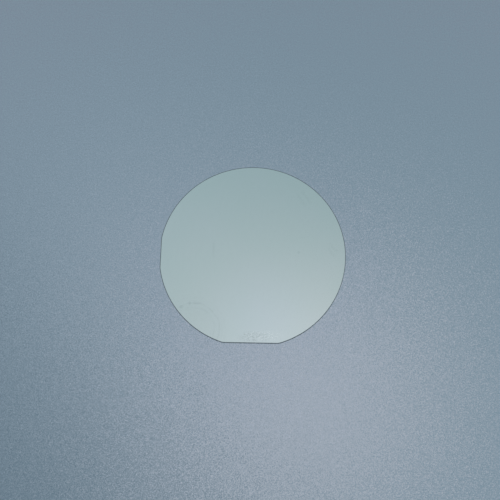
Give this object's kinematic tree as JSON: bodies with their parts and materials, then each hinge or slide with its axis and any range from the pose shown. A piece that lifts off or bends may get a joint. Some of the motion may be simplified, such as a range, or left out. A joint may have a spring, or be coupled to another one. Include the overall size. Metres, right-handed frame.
{
  "type": "silicon wafer",
  "caption": "Thin round slice of silicon with a mirror-polished front, a dull etched back, a ground edge and a long and a short alignment flat.",
  "frame": {"origin": "on the back face, at the axis of the round edge", "axes": "+Z out of the polished front, -Y out of the primary flat, -X out of the secondary flat"},
  "size_m": [0.0505, 0.0497, 0.0003],
  "materials": {
    "polished_silicon": "polished"
  },
  "bodies": {
    "root": {"wafer": "polished_silicon"}
  },
  "joints": []
}
